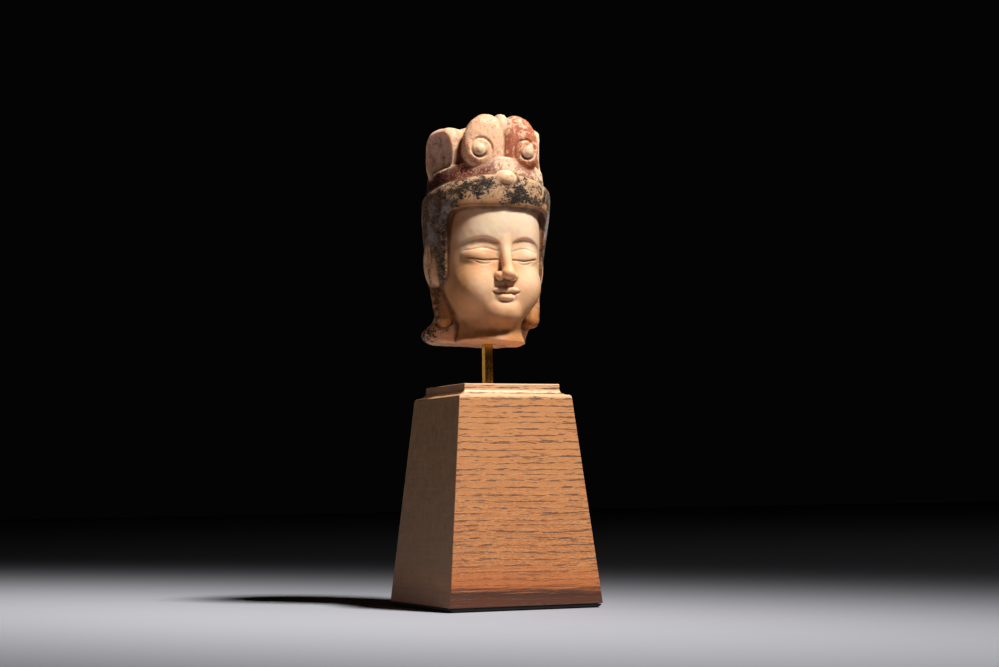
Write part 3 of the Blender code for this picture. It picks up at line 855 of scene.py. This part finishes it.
def polish(m, s):
    """The stone glows a little and is softly polished; paint is rougher."""
    painted = (m.hair + m.tier + m.scroll * 0.4).held()
    relief = m.mottle * (0.2 + painted * 0.5) + m.speck * (0.1 + painted * 0.35)
    m.feed(Base_Color=m.colour, Normal=m.bump(relief, 0.00035, 0.7),
              Roughness=m.rough(0.46 + painted * 0.2, 0.15), IOR=1.45,
              Specular_IOR_Level=0.22, Subsurface_Weight=s.glow,
              Subsurface_Radius=(1.0, 0.36, 0.14), Subsurface_Scale=0.0026)


def marble_finish(settings):
    """Warm white marble with what is left of its pigments, from the bare stone to the polish."""
    marble = Marble()
    for layer in (bare_stone, hair_ground, hair_black, hair_sides, tier_paint, scroll_paint,
                  lobe_paint, knob_paint, dirt_and_shade, polish):
        layer(marble, settings)
    return marble.material


def wood_finish(settings):
    """Tan hardwood with level growth rings and grain along x, so that the x faces are end grain."""
    r, s = Recipe("tan_hardwood"), settings
    x, _, z = r.axes()
    height = z - PLINTH_LOW.z
    wide = r.noise(0.05, r.stretched((0.6, 1.0, 1.0)), 2.0, 0.5) - 0.5
    narrow = r.noise(0.018, r.stretched((0.35, 1.0, 1.0)), 2.0, 0.5) - 0.5
    wander = wide * 0.004 + narrow * 0.0013
    uneven = r.noise(0.012, r.stretched((0.0, 0.0, 1.0), start=(0.3, 0.2, 0.0)), 2.0, 0.6)
    ring = (height + wander) / s.ring + (uneven - 0.5) * 1.6
    phase = ring.maths("FRACT", ring)
    early = phase.ramped(0.0, 0.12) * phase.ramped(0.55, 0.16)
    late = phase.ramped(0.55, 0.98)
    pores = r.noise(0.0010, r.stretched((0.15, 0.7, 1.8)), 4.0, 0.62)
    fibres = r.noise(0.0009, r.stretched((0.035, 0.8, 1.4), start=(0.2, 0.1, 0.3)), 4.0, 0.6)
    patchy = r.noise(0.016, r.stretched((0.45, 1.0, 1.0), start=(0.5, 0.0, 0.2)), 3.0, 0.6)
    slanted = r.stretched((0.6, 1.0, 1.3), turn=(0.0, 0.5, 0.0), start=(0.1, 0.0, 0.6))
    flecks = r.noise(0.0009, slanted, 4.0, 0.72)
    end_grain = r.facing()[0].ramped(0.75, 0.9)

    r.colour = r.blend(fibres.ramped(0.35, 0.7), s.tan, s.light_tan)
    r.coat(patchy.ramped(0.35, 0.75) * 0.5, s.warm_tan)
    r.coat(late * 0.28, s.pore)
    r.coat(flecks.ramped(0.50, 0.60) * 0.75, s.red_band)
    r.coat(flecks.ramped(0.48, 0.38) * 0.85, s.light_tan)
    # Painted light: the block paler towards the top.
    r.coat(height.ramped(0.020, 0.100) * 0.6, s.light_tan)
    top = float(PLINTH_HIGH.z - PLINTH_LOW.z)
    # Painted highlight: the moulding at the top much paler, where the light catches it.
    r.coat(height.ramped(top - 0.009, top - 0.007) * 0.6, s.moulding_highlight_tan)
    dashes = (pores + early * 0.15 + (patchy - 0.5) * 0.15).ramped(0.59, 0.68)
    r.coat(dashes * (1.0 - end_grain) * 0.82, s.pore)

    rays = r.noise(0.0007, r.stretched((0.05, 1.0, 0.12), start=(0.0, 0.4, 0.0)), 3.0, 0.6)
    ends = r.blend(rays.ramped(0.35, 0.68), s.end_dark, s.end_light)
    dots = r.noise(0.0008, r.stretched((0.1, 1.0, 1.0)), 2.0, 0.5)
    ends = r.blend((dots + early * 0.05).ramped(0.6, 0.68) * 0.4, ends, s.pore)
    r.coat(end_grain * 0.9, ends)

    # The block's foot is of darker heartwood, behind a reddish change of colour
    foot = height + (patchy - 0.5) * 0.004 + x * 0.02
    seen = 1.0 - end_grain * 0.75
    r.coat(foot.ramped(0.026, 0.010) * 0.65 * seen, s.red_band)
    streaks = (fibres - 0.5) * 0.012 + (flecks - 0.5) * 0.004
    r.coat((foot + streaks).ramped(0.0115, 0.0065) * 0.96 * seen, s.dark_band)
    r.coat(foot.ramped(0.0065, 0.003) * 0.08 * seen, s.red_band)

    relief = fibres * 0.3 + flecks * 0.6 - dashes * (1.0 - end_grain) * 0.8 + rays * end_grain * 0.4
    r.feed(Base_Color=r.colour, Normal=r.bump(relief, 0.0002, 0.8), IOR=1.5,
           Roughness=0.42 + dashes * 0.2 + (fibres - 0.5) * 0.12, Coat_Weight=0.25,
           Coat_Roughness=0.32)
    return r.material


def brass_finish(settings):
    """Satin brass, drawn lengthwise and a little tarnished."""
    r = Recipe("drawn_brass")
    drawn = r.noise(0.0006, r.stretched((1.0, 1.0, 0.03)), 4.0, 0.6)
    tarnish = r.noise(0.006, detail=5.0, roughness=0.65)
    colour = r.blend(tarnish.ramped(0.45, 0.75) * 0.4, settings.brass, settings.tarnish)
    roughness = 0.24 + (drawn - 0.5) * 0.16 + tarnish.ramped(0.4, 0.8) * 0.06
    r.feed(Base_Color=colour, Metallic=1.0, Roughness=roughness, Normal=r.bump(drawn, 0.00006, 0.6))
    return r.material


def paint_finish(settings):
    """Matt black paint over wood, rubbed a little."""
    r = Recipe("matt_black_paint")
    rubbed = r.noise(0.004, r.stretched((0.5, 0.5, 2.0)), 6.0, 0.7)
    colour = r.blend(rubbed.ramped(0.5, 0.8) * 0.6, settings.paint, settings.rubbed)
    r.feed(Base_Color=colour, Roughness=0.5 + rubbed * 0.2, Normal=r.bump(rubbed, 0.00015, 0.5))
    return r.material


# How the painted pool of light on the floor fades: the terms 1, x, y, xx, xy and yy of its exponent
POOL_TERMS = (0.293, 3.42, 1.1, 10.6, 9.5, 4.8)


def floor_finish(settings):
    """A plain pale floor with an oval pool of light painted into its colour, fading softly, most of
    all behind.
    """
    r = Recipe("pale_floor")
    x, y, _ = r.axes()
    one, by_x, by_y, by_xx, by_xy, by_yy = POOL_TERMS
    fading = one + by_x * x + by_y * y + by_xx * x * x + by_xy * x * y + by_yy * y * y
    fading = 0.0 - fading
    # Painted light: the pool's brightness and its falloff are in the floor's colour.
    pool = fading.maths("EXPONENT", fading)
    r.feed(Base_Color=r.blend(pool, settings.floor_far, settings.floor), Roughness=0.9,
           Specular_IOR_Level=0.0)
    return r.material


# The sizes and colours that a user would change

def colour(name, description, default):
    return FloatVectorProperty(name=name, description=description, default=default, size=3,
                               min=0.0, max=1.0, subtype="COLOR")


def length(name, description, default, least, most):
    return FloatProperty(
        name=name, description=description, default=default, min=least, max=most, unit="LENGTH")


def angle(name, description, degrees):
    return FloatProperty(
        name=name, description=description, default=math.radians(degrees), subtype="ANGLE")


class HeadSettings(bpy.types.PropertyGroup):
    skin_width: length("Skin width", "Width of the skin's faces", 0.0008, 0.0004, 0.003)
    rounds: IntProperty(
        name="Rounds", description="Passes of carving over the skin", default=7, min=2, max=20)
    glow: FloatProperty(
        name="Glow", description="How much light goes into the stone",
        default=0.75, min=0.0, max=1.0, subtype="FACTOR")
    stone: colour("Stone", "The clean marble", (0.98, 0.73, 0.52))
    warm_stone: colour("Warm stone", "The marble's darker clouds", (0.82, 0.46, 0.24))
    # A brown of real stain that also carries painted shade beside the face and under the chin.
    brown_stone: colour("Brown stone", "Stained marble of the neck", (0.41, 0.155, 0.037))
    # A brown of real dirt that also carries the painted shade in hollows and creases and under the
    # knobs.
    dirt_and_shade: colour("Dirt", "Brown in the hollows", (0.20, 0.075, 0.028))
    hair_ground: colour("Hair ground", "Tan under the hair's black", (0.58, 0.34, 0.18))
    black_pigment: colour("Black pigment", "The hair's black", (0.007, 0.006, 0.006))
    soot: colour("Soot", "Weathered brown-black round it", (0.24, 0.155, 0.105))
    grey_bloom: colour("Grey bloom", "Bluish bloom on the hair", (0.46, 0.45, 0.48))
    pink_ground: colour("Pink ground", "Pale pink of the crown", (0.90, 0.54, 0.34))
    tier_red: colour("Tier red", "Purple-red of the tier", (0.20, 0.036, 0.024))
    scroll_red: colour("Scroll red", "Red on one scroll", (0.46, 0.11, 0.05))
    orange_pigment: colour("Orange pigment", "Orange on the crown", (0.62, 0.23, 0.09))
    lavender: colour("Lavender", "Greyish tint of the side lobes", (0.95, 0.68, 0.60))
    knob_stone: colour("Knob stone", "Pale orange of the knobs", (0.92, 0.66, 0.42))


class StandSettings(bpy.types.PropertyGroup):
    ring: length("Ring spacing", "Distance between growth rings", 0.0034, 0.001, 0.02)
    tan: colour("Tan", "The wood's usual colour", (0.46, 0.185, 0.066))
    light_tan: colour("Light tan", "The paler fibres", (0.64, 0.285, 0.112))
    # The moulding's painted highlight.
    moulding_highlight_tan: colour("Rubbed tan", "The moulding, paler with use", (0.90, 0.55, 0.30))
    warm_tan: colour("Warm tan", "The redder patches", (0.50, 0.17, 0.055))
    pore: colour("Pores", "Dark pores and late wood", (0.085, 0.038, 0.022))
    end_dark: colour("End grain, dark", "The darker rays", (0.16, 0.095, 0.055))
    end_light: colour("End grain, light", "The paler rays", (0.30, 0.185, 0.11))
    red_band: colour("Red band", "Change of colour above the foot", (0.48, 0.125, 0.028))
    dark_band: colour("Dark band", "Heartwood at the foot", (0.055, 0.018, 0.010))
    brass: colour("Brass", "The clean bar", (0.76, 0.47, 0.13))
    tarnish: colour("Tarnish", "The bar's darker patches", (0.42, 0.24, 0.08))
    paint: colour("Paint", "The foot plate's black", (0.010, 0.010, 0.010))
    rubbed: colour("Rubbed paint", "The black where it is rubbed", (0.05, 0.045, 0.04))


class StageSettings(bpy.types.PropertyGroup):
    lens: FloatProperty(
        name="Lens", description="Focal length", default=73.4, min=20.0, max=300.0, unit="CAMERA")
    distance: length("Distance", "From the stand's axis to the camera", 1.12, 0.3, 10.0)
    camera_height: length("Height", "The camera's height over the floor", 0.0655, 0.01, 2.0)
    aside: length("Aside", "How far right of the axis it stands", 0.0046, -1.0, 1.0)
    azimuth: angle("Azimuth", "Where the camera stands round the stand", -23.62)
    pitch: angle("Pitch", "How far the camera looks up", 4.28)
    roll: angle("Roll", "The camera's roll", -0.742)
    # The floor's colour in the painted pool of light, and its painted darkness away from it.
    floor: colour("Floor", "The floor round the stand", (0.445, 0.453, 0.504))
    floor_far: colour("Floor, far", "The floor away from it", (0.008, 0.008, 0.009))
    key: FloatProperty(
        name="Key light", description="Its power", default=73.0, min=0.0, unit="POWER")
    fill: FloatProperty(
        name="Fill lights", description="Power of a full one", default=1.7, min=0.0, unit="POWER")


# Pieces

def dress(piece, material):
    piece.data.materials.clear()
    piece.data.materials.append(material)


def dress_node(context, node, finish):
    """A solid that stays as it is gets its finish."""
    dress(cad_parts[node], finish(context.scene.stand_settings))
    return {"FINISHED"}


class HEAD_OT_marble_head(bpy.types.Operator):
    """Carves the marble head over its solid and paints it"""
    bl_idname = "head.marble_head"
    bl_label = "Marble head"

    def execute(self, context):
        settings = context.scene.head_settings
        mesh = even_skin(merged_copy("bodhisattva_head"), settings.skin_width)
        finer_in_zones(mesh)
        points = carved(mesh, settings.rounds)
        write_masks(mesh, points)
        mesh.shade_smooth()
        mesh.name = "marble_head"
        piece = placed("marble_head", mesh)
        dress(piece, marble_finish(settings))
        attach(piece, "root")
        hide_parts("bodhisattva_head")
        return {"FINISHED"}


class HEAD_OT_brass_bar(bpy.types.Operator):
    """Finishes the square bar in satin brass"""
    bl_idname = "head.brass_bar"
    bl_label = "Brass bar"

    def execute(self, context):
        return dress_node(context, "brass_rod", brass_finish)


class HEAD_OT_wooden_plinth(bpy.types.Operator):
    """Finishes the plinth in grained hardwood"""
    bl_idname = "head.wooden_plinth"
    bl_label = "Wooden plinth"

    def execute(self, context):
        return dress_node(context, "wooden_plinth", wood_finish)


class HEAD_OT_foot_plate(bpy.types.Operator):
    """Finishes the foot plate in matt black paint"""
    bl_idname = "head.foot_plate"
    bl_label = "Foot plate"

    def execute(self, context):
        return dress_node(context, "black_foot_plate", paint_finish)


# Stage

FLOOR_REACH = 4.0
LIGHTS_AIM = Vector((0.0, 0.0, 0.16))
NIGHT = (0.0012, 0.0012, 0.0013, 1.0)
SENSOR_WIDTH = 36.0
NEAREST_SEEN = 0.05

# Lights: azimuth and elevation in degrees, distance, width, share of the set power, and colour
KEY_LIGHT = (28.0, 56.0, 2.0, 0.3, 1.0, (1.0, 0.97, 0.93))
FILL_LIGHTS = {
    "stone_fill": (-75.0, 12.0, 1.2, 0.7, 0.48, (1.0, 0.50, 0.27)),
    "wood_fill": (-80.0, 15.0, 1.2, 0.7, 1.0, (1.0, 0.86, 0.76)),
    "bar_rim": (-156.0, 4.0, 1.2, 0.25, 0.06, (1.0, 0.74, 0.44)),
    "back_fill": (150.0, 30.0, 1.4, 0.9, 1.0, (1.0, 0.8, 0.65)),
}


def soft_light(name, power, placing, pieces=None):
    """A round area light aimed at the object; it can be held to some of the pieces."""
    azimuth, elevation, distance, width, share, colour = placing
    a, e = math.radians(azimuth), math.radians(elevation)
    back = Vector((math.sin(a) * math.cos(e), -math.cos(a) * math.cos(e), math.sin(e)))
    light = bpy.data.lights.new(name, "AREA")
    light.shape = "DISK"
    light.size = width
    light.energy = power * share
    light.color = colour
    lamp = placed(name, light)
    lamp.location = LIGHTS_AIM + back * distance
    lamp.rotation_euler = back.to_track_quat("Z", "Y").to_euler()
    if pieces:
        lit = bpy.data.collections.new(name + "_pieces")
        for piece in pieces:
            lit.objects.link(piece)
        lamp.light_linking.receiver_collection = lit


def lay_floor(settings):
    shape = bmesh.new()
    bmesh.ops.create_grid(shape, x_segments=4, y_segments=4, size=FLOOR_REACH)
    mesh = bpy.data.meshes.new("floor")
    shape.to_mesh(mesh)
    shape.free()
    floor = placed("floor", mesh)
    mesh.materials.append(floor_finish(settings))


def set_lights(settings):
    """One key light for everything, and weak fills that leave the floor's shadow dark."""
    head_piece = bpy.data.objects["marble_head"]
    stand = [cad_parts[node] for node in ("brass_rod", "wooden_plinth", "black_foot_plate")]
    lit = {"stone_fill": [head_piece], "wood_fill": stand, "bar_rim": stand[:1],
           "back_fill": [head_piece, *stand]}
    soft_light("key_light", settings.key, KEY_LIGHT)
    for name, placing in FILL_LIGHTS.items():
        soft_light(name, settings.fill, placing, lit[name])


def darken_world(scene):
    world = bpy.data.worlds.new("dark_studio")
    world.use_nodes = True
    background = world.node_tree.nodes["Background"]
    background.inputs["Color"].default_value = NIGHT
    background.inputs["Strength"].default_value = 1.0
    scene.world = world
    scene.view_settings.view_transform = "Standard"


def place_camera(scene, settings):
    """The camera stands round the stand at its azimuth, looks up by its pitch and then rolls."""
    azimuth, pitch, roll = settings.azimuth, settings.pitch, settings.roll
    back = Vector((math.sin(azimuth), -math.cos(azimuth), 0.0))
    right = Vector((math.cos(azimuth), math.sin(azimuth), 0.0))
    upright = Vector((0.0, 0.0, 1.0))
    spot = back * settings.distance + right * settings.aside + upright * settings.camera_height
    ahead = -back * math.cos(pitch) + upright * math.sin(pitch)
    above = back * math.sin(pitch) + upright * math.cos(pitch)
    across = right * math.cos(roll) + above * math.sin(roll)
    above = above * math.cos(roll) - right * math.sin(roll)
    camera = bpy.data.cameras.new("camera")
    camera.lens = settings.lens
    camera.sensor_width = SENSOR_WIDTH
    camera.clip_start = NEAREST_SEEN
    turn = Matrix((across, above, -ahead)).transposed()
    scene.camera = placed("camera", camera)
    scene.camera.matrix_world = Matrix.Translation(spot) @ turn.to_4x4()


class HEAD_OT_stage(bpy.types.Operator):
    """Lays the floor, sets the lights and places the camera"""
    bl_idname = "head.stage"
    bl_label = "Stage"

    def execute(self, context):
        settings = context.scene.stage_settings
        lay_floor(settings)
        set_lights(settings)
        darken_world(context.scene)
        place_camera(context.scene, settings)
        return {"FINISHED"}


PIECES = (HEAD_OT_marble_head, HEAD_OT_brass_bar, HEAD_OT_wooden_plinth, HEAD_OT_foot_plate,
          HEAD_OT_stage)


class HEAD_PT_pieces(bpy.types.Panel):
    """The pieces in the order in which they are made"""
    bl_idname = "HEAD_PT_pieces"
    bl_label = "Marble head on a stand"
    bl_space_type = "VIEW_3D"
    bl_region_type = "UI"
    bl_category = "Head"

    def draw(self, context):
        for piece in PIECES:
            self.layout.operator(piece.bl_idname)


SETTINGS = (("head_settings", HeadSettings), ("stand_settings", StandSettings),
            ("stage_settings", StageSettings))


def register():
    for _, group in SETTINGS:
        bpy.utils.register_class(group)
    for made in (*PIECES, HEAD_PT_pieces):
        bpy.utils.register_class(made)
    for name, group in SETTINGS:
        setattr(bpy.types.Scene, name, PointerProperty(type=group))


def unregister():
    for name, group in SETTINGS:
        delattr(bpy.types.Scene, name)
        bpy.utils.unregister_class(group)
    for made in (*PIECES, HEAD_PT_pieces):
        bpy.utils.unregister_class(made)


def main():
    register()
    bpy.ops.head.marble_head()
    bpy.ops.head.brass_bar()
    bpy.ops.head.wooden_plinth()
    bpy.ops.head.foot_plate()
    bpy.ops.head.stage()


if __name__ == "__main__":
    main()
